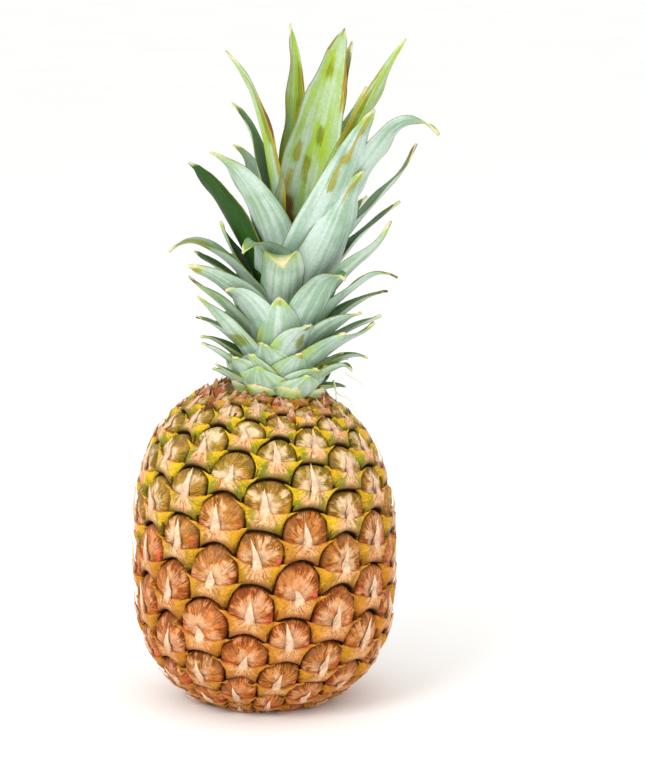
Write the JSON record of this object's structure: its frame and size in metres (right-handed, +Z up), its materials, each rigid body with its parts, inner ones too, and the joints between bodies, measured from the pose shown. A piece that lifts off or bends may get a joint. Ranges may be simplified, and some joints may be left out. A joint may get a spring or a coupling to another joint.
{
  "type": "pineapple",
  "caption": "Whole ripe pineapple standing upright, its rind covered in spirals of raised eyes with pointed bracts, topped by a leafy crown.",
  "frame": {"origin": "centre of the cut end of the stalk, level with the rim that the fruit stands on", "axes": "+Z up from the stalk towards the crown; -Y is the side that faces the viewer; the crown leans to +X"},
  "size_m": [0.1407, 0.1239, 0.3146],
  "materials": {
    "rind": "waxy rind, matt in the grooves, with dry papery bracts",
    "stalk": "fibrous cut end, dry",
    "leaf": "stiff waxy leaves with a pale bloom and dry tips"
  },
  "bodies": {
    "root": {"fruit": "rind", "stalk": "stalk", "crown": "leaf"}
  },
  "joints": []
}
